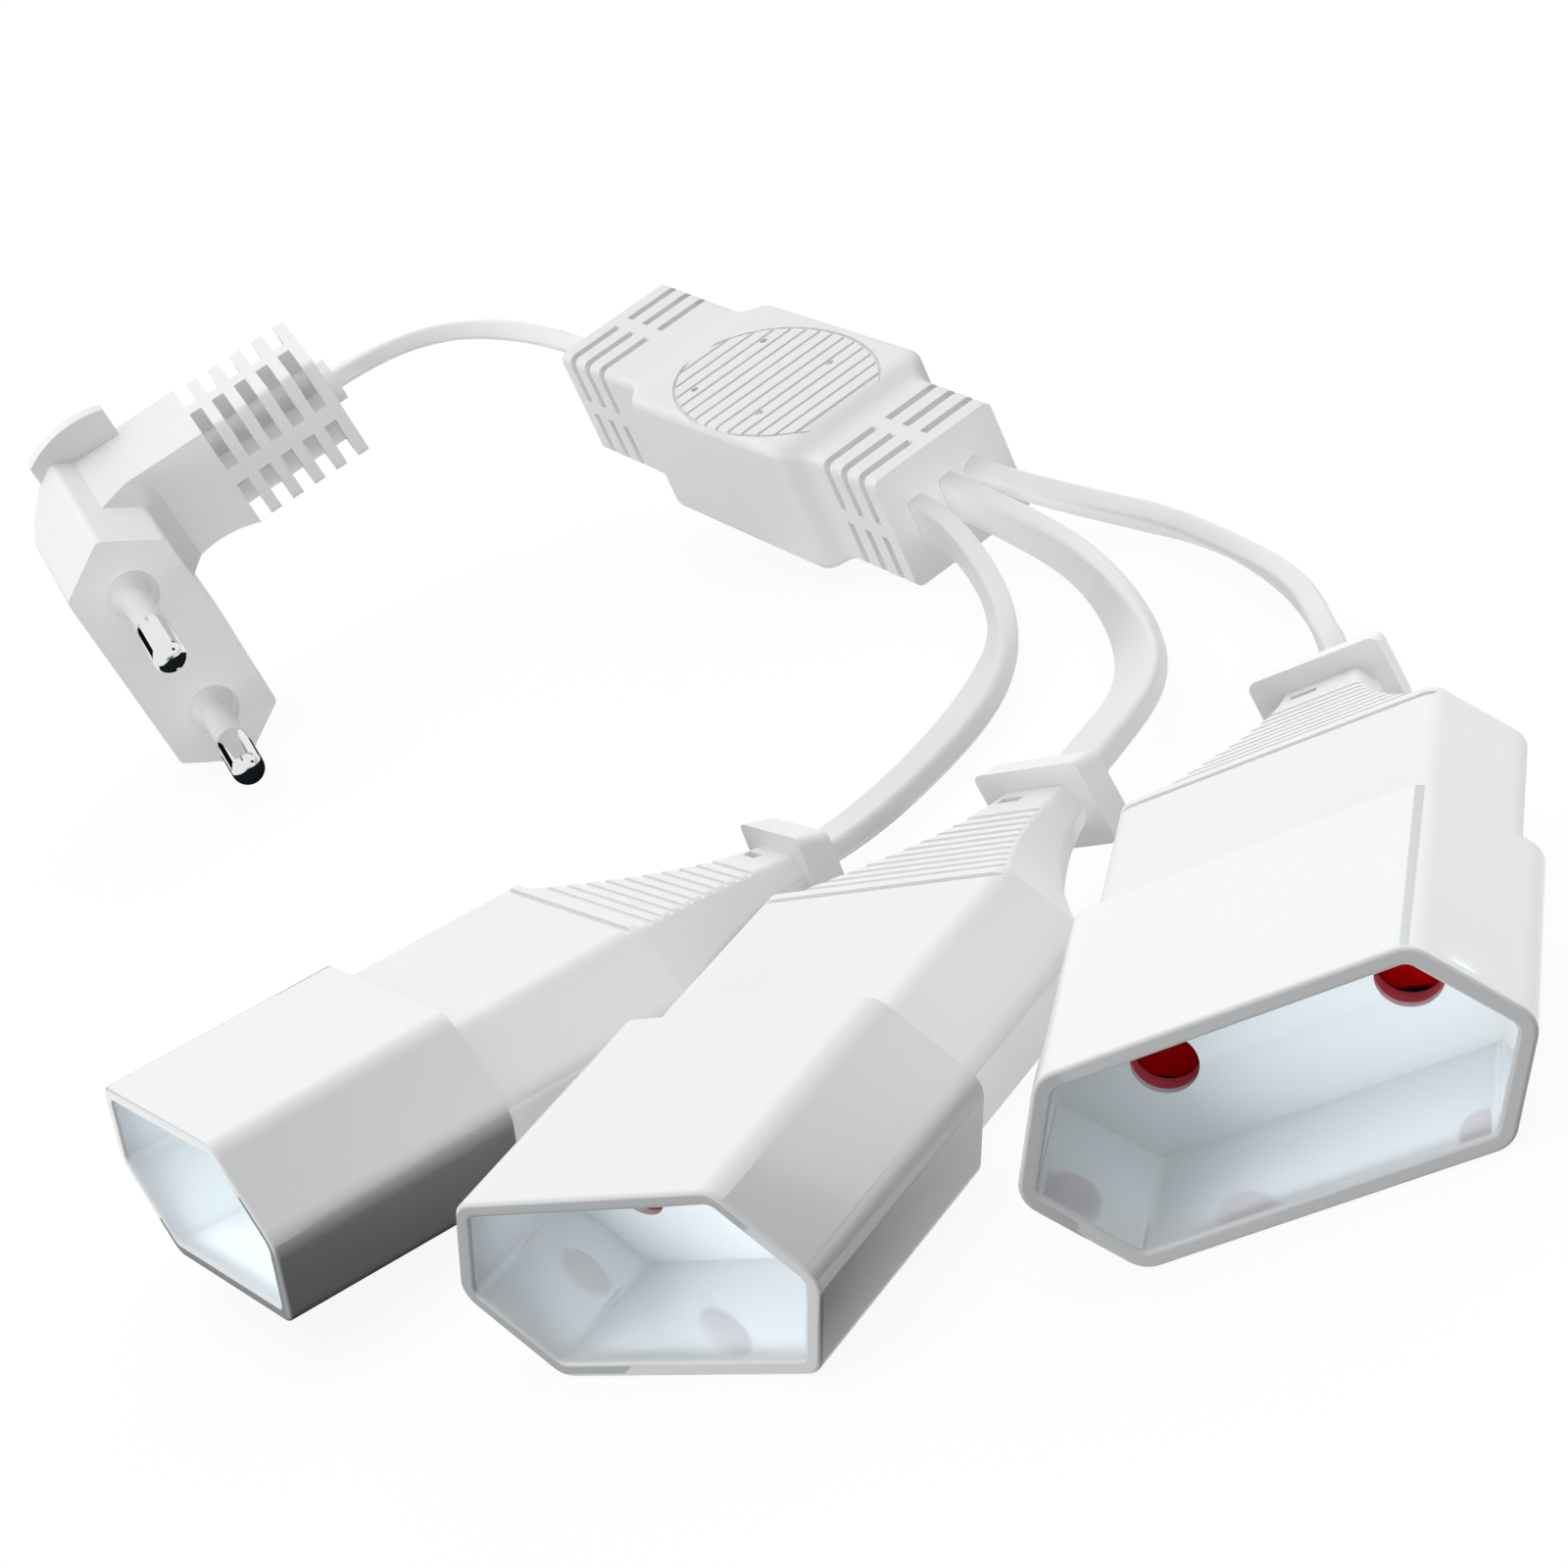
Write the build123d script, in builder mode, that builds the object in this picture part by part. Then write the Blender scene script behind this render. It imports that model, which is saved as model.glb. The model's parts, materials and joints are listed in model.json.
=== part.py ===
"""Three-way flat socket lead: an angled flat plug, a splitter block and three shuttered sockets.

Millimetres, +Z up. The lead lies on the plane Z = 0 and the middle socket's mouth faces -Y. Each
socket has a plane of its own at its mouth (X along the long side, Y up, Z out of the mouth), the plug
one on its face (X along the cord arm, Y up, Z along the pins) and the block one under its middle
(X towards the sockets, Z up).
"""

import os
from math import asin, atan2, cos, degrees, hypot, radians, sin, sqrt, tan

from build123d import *

os.makedirs("parts", exist_ok=True)

# Plug face: the flattened hexagon that every flat socket of this kind takes
plug_length = 35.3
plug_height = 13.7
plug_flat = 26.1
plug_corner_r = 1.0

# Plug body behind the face, its cord arm and the finger lips at both ends
body_depth = 27.6
elbow_r = 11.0
arm_front = 12.5
arm_depth = 14.6
arm_top = 16.0
arm_height = 14.2
arm_solid_end = 17.3
arm_hollow = 1.1
arm_front_strip = 2.2
lip_thickness = 1.8
upper_lip_depth = 25.2
upper_lip_rise = 3.1
upper_lip_r = 13.0
upper_lip_left = -2.4
upper_lip_peak = 4.7
upper_lip_right = 8.9
upper_lip_base = 14.0
lower_lip_depth = 18.8
lower_lip_rise = 4.6
lower_lip_r = 15.0
lower_lip_left = -4.0
lower_lip_peak = 5.0
lower_lip_right = 6.0
lower_lip_base = 8.0

# Strain relief on the arm: plates on a cross-shaped core, and the boss where the cord leaves
plate_count = 5
plate_pitch = 3.16
plate_thickness = 1.5
plate_corner_r = 0.7
core_height = 8.0
core_width = 5.6
core_corner_r = 1.6
web_thickness = 2.2
boss_length = 1.4
boss_height = 4.6
boss_width = 6.8
boss_corner_r = 2.2

# Pins with their insulating sleeves
pin_spacing = 18.6
pin_r = 2.0
pin_length = 19.0
pin_root = 10.0
pin_converge = 1.2
stem_r = 1.4
sleeve_length = 10.0
sleeve_r = 1.8
sleeve_foot_r = 3.2
sleeve_foot_length = 2.6
pin_clearance = 0.05
pin_tip_share = 0.9
sleeve_hollow_share = 0.3

# Socket front: a gloss shell with the recess, its floor, the pin holes and the shutter's chamber
shell_depth = 22.9
shell_wall = 1.4
shell_corner_r = 2.4
shell_rim_r = 0.35
recess_depth = 12.1
recess_clearance = 0.35
floor_thickness = 0.6
hole_spacing = 19.0
hole_r = 2.5
pivot_r = 1.6

# Socket rear: a matt body with contact bores, a ribbed neck and an end collar
rear_start = 18.0
rear_end = 41.9
rear_inset = 1.65
rear_corner_r = 1.8
neck_length = 19.6
neck_shoulder = 0.5
neck_end_flat = 6.6
neck_end_height = 4.2
neck_end_length = 9.0
neck_flat_power = 1.7
neck_height_power = 1.2
neck_sections = 5
rib_count = 10
rib_pitch = 1.45
rib_start = 1.5
rib_gap = 0.6
rib_gap_depth = 0.35
line_inset = 1.3
vent_length = 2.4
vent_width = 0.9
vent_depth = 0.8
vent_offset = 1.3
vent_inset = 1.2
collar_width = 11.4
collar_height = 8.2
collar_back_height = 6.4
collar_depth = 3.2
collar_r = 0.8

# Guard plate against the floor, the shutter behind it (a rotor with two wings) and its hairpin spring
guard_thickness = 1.4
guard_clearance = 0.1
shutter_thickness = 2.2
shutter_gap = 0.25
shutter_hub_r = 3.2
shutter_reach = 12.4
shutter_turn = 28.7
shutter_cover = 0.1
shutter_shoulder = 0.4
shutter_clearance = 0.15
shutter_ramp = 0.5
pivot_clearance = 0.1
peg_r = 0.6
peg_x = 6.0
peg_y = 1.45
peg_length = 1.0
spring_wire_r = 0.3
spring_bend_r = 2.4
spring_leg = 6.8
spring_gap = 0.35

# Contacts in the socket rear: split sleeves with a crimp tail
contact_r = 2.55
contact_bore_r = 2.1
contact_length = 14.0
contact_slit = 0.6
contact_slit_length = 9.0
contact_step = 0.3
tail_r = 1.5
tail_length = 4.0
contact_clearance = 0.08

# Splitter block: narrow ends with corner grooves, a wider middle with a ribbed oval on top
block_length = 66.0
block_end_width = 16.0
block_end_height = 13.6
block_mid_start = -12.3
block_mid_end = 16.5
block_shoulder = 5.0
block_swell_side = 2.3
block_swell_under = 1.0
block_swell_top_start = 0.3
block_swell_top_end = 1.3
block_edge_r = 1.0
groove_count = 3
groove_pitch = 3.3
groove_inset = 2.6
groove_width = 1.2
groove_depth = 0.7
groove_break = 1.7
oval_length = 33.0
oval_width = 18.4
oval_x = 4.0
oval_y = -0.6
oval_line_count = 14
oval_line_width = 0.5
oval_line_depth = 0.4
oval_rim = 0.4
dot_r = 0.45
dot_spacing_x = 14.0
dot_spacing_y = 10.0
dot_x = 1.2
splice_length = 22.0
splice_width = 2.6
splice_height = 3.6
splice_spacing = 6.4
splice_clearance = 0.1

# Flat twin cords: the branches leave the block on edge, the supply cord leaves the plug flat
cord_width = 5.6
cord_thickness = 2.5
cord_gap = 4.2
cord_lead = 5.5
cord_bend_share = 0.45

# Layout: the middle socket's mouth, the fan of the other two, the block's and the plug's places
middle_mouth_x = 61.74
middle_mouth_y = -82.31
left_mouth_x = -58.9
left_mouth_y = 8.15
left_turn = -21.5
right_mouth_x = 50.6
right_mouth_y = 16.7
right_turn = 25.6
block_x = -92.1
block_y = 145.0
block_turn = -22.4
block_pitch = 11.9
plug_x = -167.15
plug_y = 111.9
plug_turn = 54.3
plug_roll = 2.2

# Sizes that follow from the ones above
half_height = plug_height / 2
slope_run = (plug_length - plug_flat) / 2
slope = hypot(slope_run, half_height)
shell_grow = recess_clearance + shell_wall
shell_height = plug_height + 2 * shell_grow
chamber_front = recess_depth + floor_thickness
chamber_half_height = half_height + recess_clearance
shutter_front = chamber_front + guard_thickness + shutter_gap
shutter_back = shutter_front + shutter_thickness
spring_plane = shutter_back + spring_gap + spring_wire_r
collar_front = rear_end + neck_length
collar_back = collar_front + collar_depth
rear_half_height = half_height + shell_grow - rear_inset
left_tip = degrees(atan2(rear_half_height - collar_height / 2, neck_length))
apex_half_angle = atan2(half_height, slope_run)
plug_reach = plug_length / 2 - plug_corner_r * (1 / sin(apex_half_angle) - 1)
lean_rise = lower_lip_rise - lower_lip_peak * tan(radians(plug_roll))
plug_lean = degrees(atan2(lean_rise, lower_lip_depth))
arm_under = arm_top - arm_height
arm_middle = arm_top - arm_height / 2
arm_end = arm_solid_end + plate_count * plate_pitch


def hexagon(plane, length, height, flat, corner_r):
    """Flattened hexagon with pointed ends, its long axis along the plane's X."""
    with BuildSketch(plane) as outline:
        with BuildLine():
            Polyline(
                (length / 2, 0),
                (flat / 2, height / 2),
                (-flat / 2, height / 2),
                (-length / 2, 0),
                (-flat / 2, -height / 2),
                (flat / 2, -height / 2),
                close=True,
            )
        make_face()
        fillet(outline.vertices(), corner_r)
    return outline.sketch


def grown(amount):
    """Length, height and flat of the plug's outline with each side moved out by the amount."""
    apex_shift = amount * slope / half_height
    corner_shift = amount * (slope - slope_run) / half_height
    return plug_length + 2 * apex_shift, plug_height + 2 * amount, plug_flat + 2 * corner_shift


def place(plane, x, y, z):
    """A point given in the plane's own axes."""
    return plane.from_local_coords((x, y, z))


def spun(plane, angle):
    """The plane turned about its own Z."""
    angle = radians(angle)
    return Plane(
        origin=plane.origin,
        x_dir=plane.x_dir * cos(angle) + plane.y_dir * sin(angle),
        z_dir=plane.z_dir,
    )


def socket_plane(x, y, turn, tip):
    """Plane of a mouth turned from -Y about Z. Level, the socket lies on its shell.

    Tipped up, it rests on the back edge of its shell or of its rear body, whichever is lower.
    """
    turn = radians(turn)
    tip = radians(tip)
    on_shell = shell_height / 2 * cos(tip) + shell_depth * sin(tip)
    on_rear = rear_half_height * cos(tip) + rear_end * sin(tip)
    return Plane(
        origin=(middle_mouth_x + x, middle_mouth_y + y, max(on_shell, on_rear)),
        x_dir=(cos(turn), sin(turn), 0),
        z_dir=(sin(turn) * cos(tip), -cos(turn) * cos(tip), sin(tip)),
    )


def socket_front(mouth):
    """Gloss shell: recess, floor with pin holes, chamber and the shutter's pivot."""
    chamber = grown(recess_clearance)
    with BuildPart() as front:
        extrude(hexagon(mouth, *grown(shell_grow), shell_corner_r), amount=-shell_depth)
        recess_r = shell_corner_r - shell_wall
        extrude(hexagon(mouth, *chamber, recess_r), amount=-recess_depth, mode=Mode.SUBTRACT)
        rim = front.faces().filter_by(lambda face: abs(mouth.to_local_coords(face.center()).Z) < 0.01)
        fillet(rim.edges(), shell_rim_r)
        behind = hexagon(mouth.offset(-shell_depth), *chamber, recess_r)
        extrude(behind, amount=shell_depth - chamber_front, mode=Mode.SUBTRACT)
        with BuildSketch(mouth.offset(-recess_depth)):
            with GridLocations(hole_spacing, 0, 2, 1):
                Circle(hole_r)
        extrude(amount=-floor_thickness, mode=Mode.SUBTRACT)
        with BuildSketch(mouth.offset(-chamber_front)):
            Circle(pivot_r)
        extrude(amount=-(shutter_back + spring_gap + 2 * spring_wire_r - chamber_front))
    return front.part


def guard_plate(mouth):
    """Red plate against the back of the floor, its pin holes in line with the floor's."""
    front = mouth.offset(-chamber_front)
    with BuildPart() as plate:
        outline = hexagon(front, *grown(recess_clearance - guard_clearance), shell_corner_r - shell_wall)
        extrude(outline, amount=-guard_thickness)
        with BuildSketch(front):
            with GridLocations(hole_spacing, 0, 2, 1):
                Circle(hole_r)
            Circle(pivot_r + pivot_clearance)
        extrude(amount=-guard_thickness, mode=Mode.SUBTRACT)
    return plate.part


def neck_size(share):
    """Length, height and flat of the neck at a share of its length from the rear body."""
    start = grown(shell_grow - rear_inset - neck_shoulder)
    width_left = (1 - share) ** neck_flat_power
    height_left = (1 - share) ** neck_height_power
    return (
        neck_end_length + (start[0] - neck_end_length) * width_left,
        neck_end_height + (start[1] - neck_end_height) * height_left,
        neck_end_flat + (start[2] - neck_end_flat) * width_left,
    )


def socket_rear(mouth):
    """Matt body with the contact bores, the ribbed concave neck and the collar."""
    with BuildPart() as rear:
        body = hexagon(mouth.offset(-rear_start), *grown(shell_grow - rear_inset), rear_corner_r)
        extrude(body, amount=-(rear_end - rear_start))
        shares = [index / (neck_sections - 1) for index in range(neck_sections)]
        loft(
            [
                hexagon(mouth.offset(-rear_end - share * neck_length), *neck_size(share), collar_r)
                for share in shares
            ]
        )
        with BuildSketch(mouth.offset(-collar_front)):
            RectangleRounded(collar_width, collar_height, collar_r)
        with BuildSketch(mouth.offset(-collar_back)):
            RectangleRounded(collar_width, collar_back_height, collar_r)
        collar = loft()
        back_face = collar.faces().sort_by(Axis(mouth.origin, mouth.z_dir))[0]
        fillet(back_face.edges(), collar_r / 2)

        # Fine gaps across the top and underside leave the neck's ribs, and one line edges the body
        gaps = [(rear_end - line_inset, grown(shell_grow - rear_inset)[1])]
        for index in range(rib_count):
            along = rib_start + index * rib_pitch
            gaps.append((rear_end + along, neck_size(along / neck_length)[1]))
        for depth, height in gaps:
            with BuildSketch(mouth.offset(-depth)):
                with Locations((0, height / 2), (0, -height / 2)):
                    Rectangle(plug_length, 2 * rib_gap_depth)
            extrude(amount=-rib_gap, mode=Mode.SUBTRACT)

        # A small blind slot in front of the collar
        slot_share = 1 - (vent_inset + vent_width / 2) / neck_length
        slot_top = neck_size(slot_share)[1] / 2
        with BuildSketch(mouth.offset(-(collar_front - vent_inset))):
            with Locations((-vent_offset, slot_top)):
                Rectangle(vent_length, 2 * vent_depth)
        extrude(amount=vent_width, mode=Mode.SUBTRACT)

        with BuildSketch(mouth.offset(-rear_start)):
            with GridLocations(hole_spacing, 0, 2, 1):
                Circle(contact_r + contact_clearance)
        extrude(amount=-(contact_step + contact_length), mode=Mode.SUBTRACT)
        with BuildSketch(mouth.offset(-rear_start - contact_step - contact_length)):
            with GridLocations(hole_spacing, 0, 2, 1):
                Circle(tail_r + contact_clearance)
        extrude(amount=-tail_length, mode=Mode.SUBTRACT)

        # Post that holds the spring's lower leg
        with BuildSketch(mouth.offset(-rear_start)):
            with Locations((peg_x, -peg_y)):
                Circle(peg_r)
        extrude(amount=rear_start - spring_plane + spring_wire_r)
    return rear.part


def shutter_wing(plane, turned):
    """Outline of one wing: it covers a pin hole at rest and ends its turn at the chamber's wall."""
    trailing = -asin((hole_r + shutter_cover) / (hole_spacing / 2))
    turn = radians(shutter_turn)
    wall = chamber_half_height - shutter_clearance
    leading = asin(wall / shutter_reach) - turn
    shoulder_y = hole_r + shutter_shoulder
    shoulder_x = (wall - shoulder_y * cos(turn)) / sin(turn)
    middle = (trailing + leading) / 2
    with BuildSketch(spun(plane, turned)) as wing:
        with BuildLine():
            tip_low = (shutter_reach * cos(trailing), shutter_reach * sin(trailing))
            tip_middle = (shutter_reach * cos(middle), shutter_reach * sin(middle))
            tip_high = (shutter_reach * cos(leading), shutter_reach * sin(leading))
            Line((0, 0), tip_low)
            ThreePointArc(tip_low, tip_middle, tip_high)
            Polyline(tip_high, (shoulder_x, shoulder_y), (0, shutter_hub_r), (0, 0))
        make_face()
    return wing.sketch


def socket_shutter(mouth):
    """Red rotor: a hub on the shell's pivot, two ramped wings and the peg that loads the spring."""
    front = mouth.offset(-shutter_front)
    with BuildPart() as shutter:
        with BuildSketch(front):
            Circle(shutter_hub_r)
        extrude(amount=-shutter_thickness)
        for turned in (0, 180):
            extrude(shutter_wing(front, turned), amount=-shutter_thickness, dir=front.z_dir)
        trailing = degrees(asin((hole_r + shutter_cover) / (hole_spacing / 2)))
        for turned in (0, 180):
            edge_plane = spun(front, turned - trailing)
            edge_point = place(edge_plane, hole_spacing / 2, 0, 0)
            ramp_edge = shutter.edges().sort_by_distance(edge_point)[0]
            chamfer(ramp_edge, shutter_ramp)
        with BuildSketch(front):
            Circle(pivot_r + pivot_clearance)
        extrude(amount=-shutter_thickness, mode=Mode.SUBTRACT)
        with BuildSketch(mouth.offset(-shutter_back)):
            with Locations((peg_x, peg_y)):
                Circle(peg_r)
        extrude(amount=-peg_length)
    return shutter.part


def shutter_spring(mouth):
    """Hairpin of round wire that bends round the pivot, its legs on the shutter's peg and the rear's post."""
    plane = mouth.offset(-spring_plane)
    with BuildPart() as spring:
        with BuildLine(plane) as wire:
            Line((spring_leg, spring_bend_r), (0, spring_bend_r))
            ThreePointArc((0, spring_bend_r), (-spring_bend_r, 0), (0, -spring_bend_r))
            Line((0, -spring_bend_r), (spring_leg, -spring_bend_r))
        start = place(plane, spring_leg, spring_bend_r, 0)
        with BuildSketch(Plane(origin=start, x_dir=plane.y_dir, z_dir=-plane.x_dir)):
            Circle(spring_wire_r)
        sweep(path=wire.wires()[0])
    return spring.part


def socket_contact(mouth, side):
    """Split brass sleeve behind one pin hole, with its crimp tail."""
    axis_point = place(mouth, side * hole_spacing / 2, 0, -rear_start - contact_step)
    plane = Plane(origin=axis_point, x_dir=mouth.x_dir, z_dir=mouth.z_dir)
    with BuildPart() as contact:
        with BuildSketch(plane):
            Circle(contact_r)
        extrude(amount=-contact_length)
        with BuildSketch(plane):
            Circle(contact_bore_r)
        extrude(amount=-(contact_length - tail_r), mode=Mode.SUBTRACT)
        with BuildSketch(plane):
            Rectangle(contact_slit, 2 * (contact_r + contact_clearance))
        extrude(amount=-contact_slit_length, mode=Mode.SUBTRACT)
        with BuildSketch(plane.offset(-contact_length)):
            Circle(tail_r)
        extrude(amount=-tail_length)
    return contact.part


def plug_plane():
    """Plane of the plug's face. The plug stands on its lower front corner and its lower lip, so it leans."""
    turn = radians(plug_turn)
    lean = radians(plug_lean)
    stand_height = plug_reach * cos(lean) * cos(radians(plug_roll))
    upright = Plane(
        origin=(middle_mouth_x + plug_x, middle_mouth_y + plug_y, stand_height),
        x_dir=(cos(turn), sin(turn), 0),
        z_dir=(sin(turn) * cos(lean), -cos(turn) * cos(lean), -sin(lean)),
    )
    return spun(upright, plug_roll)


def finger_lip(plane, side, base, left, peak, right, rise, round_r):
    """Outline of a finger lip on the plug's upper (1) or lower (-1) end, from its base to a round edge."""
    centre_y = plug_reach + rise - round_r
    left_y = centre_y + sqrt(round_r**2 - (left - peak) ** 2)
    right_y = centre_y + sqrt(round_r**2 - (right - peak) ** 2)
    with BuildSketch(plane) as lip:
        with BuildLine():
            start = (left, side * left_y)
            end = (right, side * right_y)
            ThreePointArc(start, (peak, side * (plug_reach + rise)), end)
            Polyline(end, (right, side * base), (left, side * base), start)
        make_face()
    return lip.sketch


def pin_plane(face, side):
    """Plane at a pin's foot, its Z along the pin, which leans a little towards the other pin."""
    lean = radians(pin_converge)
    return Plane(
        origin=place(face, 0, side * pin_spacing / 2, 0),
        x_dir=face.x_dir,
        z_dir=face.z_dir * cos(lean) - face.y_dir * (side * sin(lean)),
    )


def plug_body(face):
    """One moulding: flat front, rounded elbow, finger lips, cord arm and the slotted strain relief."""
    upright = Plane(origin=face.origin, x_dir=face.y_dir, z_dir=face.z_dir)
    plan = Plane(origin=face.origin, x_dir=face.x_dir, z_dir=face.y_dir)
    section = Plane(
        origin=place(face, arm_solid_end, arm_middle, -(arm_front + arm_depth / 2)),
        x_dir=face.y_dir,
        z_dir=face.x_dir,
    )
    with BuildPart() as body:
        outline = hexagon(upright, plug_length, plug_height, plug_flat, plug_corner_r)
        extrude(outline, amount=-body_depth)
        with BuildSketch(plan) as elbow:
            with Locations((0, body_depth / 2)):
                Rectangle(plug_height, body_depth)
            outer_corner = elbow.vertices().sort_by_distance(place(face, -half_height, 0, -body_depth))[0]
            fillet(outer_corner, elbow_r)
        extrude(amount=plug_length, both=True, mode=Mode.INTERSECT)

        # The arm leaves on the X side, level with the flat's upper corner
        # and its underside is hollowed a little between the body and the strain relief
        with BuildSketch(face.offset(-arm_front)):
            with BuildLine():
                root = (half_height, arm_under)
                hollow = ((half_height + arm_solid_end) / 2, arm_under + arm_hollow)
                outer = (arm_solid_end, arm_under)
                Polyline(root, (0, arm_under), (0, arm_top), (arm_solid_end, arm_top), outer)
                ThreePointArc(outer, hollow, root)
            make_face()
        extrude(amount=-arm_depth)
        front_point = place(face, half_height, arm_middle, -arm_front)
        front_edge = body.edges().sort_by_distance(front_point)[0]
        chamfer(front_edge, arm_front_strip)

        # Finger lips on both ends
        upper_lip = finger_lip(
            face.offset(-upper_lip_depth),
            side=1,
            base=upper_lip_base,
            left=upper_lip_left,
            peak=upper_lip_peak,
            right=upper_lip_right,
            rise=upper_lip_rise,
            round_r=upper_lip_r,
        )
        lower_lip = finger_lip(
            face.offset(-lower_lip_depth),
            side=-1,
            base=lower_lip_base,
            left=lower_lip_left,
            peak=lower_lip_peak,
            right=lower_lip_right,
            rise=lower_lip_rise,
            round_r=lower_lip_r,
        )
        for lip in (upper_lip, lower_lip):
            extrude(lip, amount=-lip_thickness, dir=face.z_dir)

        # Strain relief: core and webs first, then the plates, then the boss
        with BuildSketch(section):
            RectangleRounded(core_height, core_width, core_corner_r)
            Rectangle(arm_height, web_thickness)
            Rectangle(web_thickness, arm_depth)
        extrude(amount=arm_end - arm_solid_end)
        for index in range(plate_count):
            plate_end = (index + 1) * plate_pitch
            with BuildSketch(section.offset(plate_end - plate_thickness)):
                RectangleRounded(arm_height, arm_depth, plate_corner_r)
            extrude(amount=plate_thickness)
        with BuildSketch(section.offset(arm_end - arm_solid_end)):
            RectangleRounded(boss_height, boss_width, boss_corner_r)
        extrude(amount=boss_length)

        for side in (1, -1):
            foot = pin_plane(face, side)
            with BuildSketch(foot.offset(pin_clearance)):
                Circle(stem_r + pin_clearance)
            extrude(amount=-(pin_root + 2 * pin_clearance), mode=Mode.SUBTRACT)
    return body.part


def plug_pin(plane):
    """Turned pin: a slim stem under the sleeve and in the body, and a full tip with a round end."""
    with BuildPart() as pin:
        with BuildSketch(plane.offset(-pin_root)):
            Circle(stem_r)
        extrude(amount=pin_root + sleeve_length)
        with BuildSketch(plane.offset(sleeve_length)):
            Circle(pin_r)
        tip = extrude(amount=pin_length - sleeve_length)
        end_face = tip.faces().sort_by(Axis(plane.origin, plane.z_dir))[-1]
        fillet(end_face.edges(), pin_r * pin_tip_share)
    return pin.part


def pin_sleeve(plane):
    """Insulating sleeve round the stem, with a flared foot on the plug's face."""
    profile = Plane(origin=plane.origin, x_dir=plane.x_dir, z_dir=-plane.y_dir)
    with BuildPart() as sleeve:
        with BuildSketch(profile):
            with BuildLine():
                bore = stem_r + pin_clearance
                seat = sleeve_foot_r * sin(radians(pin_converge))
                waist = (sleeve_r, sleeve_foot_length)
                hollow_r = sleeve_r + (sleeve_foot_r - sleeve_r) * sleeve_hollow_share
                hollow = (hollow_r, seat + (sleeve_foot_length - seat) * sleeve_hollow_share)
                foot = (sleeve_foot_r, seat)
                Polyline(waist, (sleeve_r, sleeve_length), (bore, sleeve_length), (bore, seat), foot)
                ThreePointArc(foot, hollow, waist)
            make_face()
        revolve(axis=Axis(plane.origin, plane.z_dir))
    return sleeve.part


def block_plane():
    """Plane under the block's middle. It rests on its socket end and the supply cord holds the other up."""
    turn = radians(block_turn)
    pitch = radians(block_pitch)
    middle_height = block_length / 2 * sin(pitch)
    return Plane(
        origin=(middle_mouth_x + block_x, middle_mouth_y + block_y, middle_height),
        x_dir=(cos(turn) * cos(pitch), sin(turn) * cos(pitch), -sin(pitch)),
        z_dir=(cos(turn) * sin(pitch), sin(turn) * sin(pitch), cos(pitch)),
    )


def shouldered(plane, end_size, upper, lower):
    """Long outline along X: straight ends that swell into the middle through S-shaped shoulders.

    The swells are given at the middle's start and end, above and below the axis.
    """
    end_x = block_length / 2
    half = end_size / 2
    start_low = (block_mid_start, -half - lower[0])
    end_low = (block_mid_end, -half - lower[1])
    start_high = (block_mid_start, half + upper[0])
    end_high = (block_mid_end, half + upper[1])
    start_foot = block_mid_start - block_shoulder
    end_foot = block_mid_end + block_shoulder
    start_turn = block_mid_start - block_shoulder / 2
    end_turn = block_mid_end + block_shoulder / 2
    with BuildSketch(plane) as outline:
        with BuildLine():
            Polyline((start_foot, half), (-end_x, half), (-end_x, -half), (start_foot, -half))
            Bezier((start_foot, -half), (start_turn, -half), (start_turn, start_low[1]), start_low)
            Line(start_low, end_low)
            Bezier(end_low, (end_turn, end_low[1]), (end_turn, -half), (end_foot, -half))
            Polyline((end_foot, -half), (end_x, -half), (end_x, half), (end_foot, half))
            Bezier((end_foot, half), (end_turn, half), (end_turn, end_high[1]), end_high)
            Line(end_high, start_high)
            Bezier(start_high, (start_turn, start_high[1]), (start_turn, half), (start_foot, half))
        make_face()
    return outline.sketch


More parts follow.
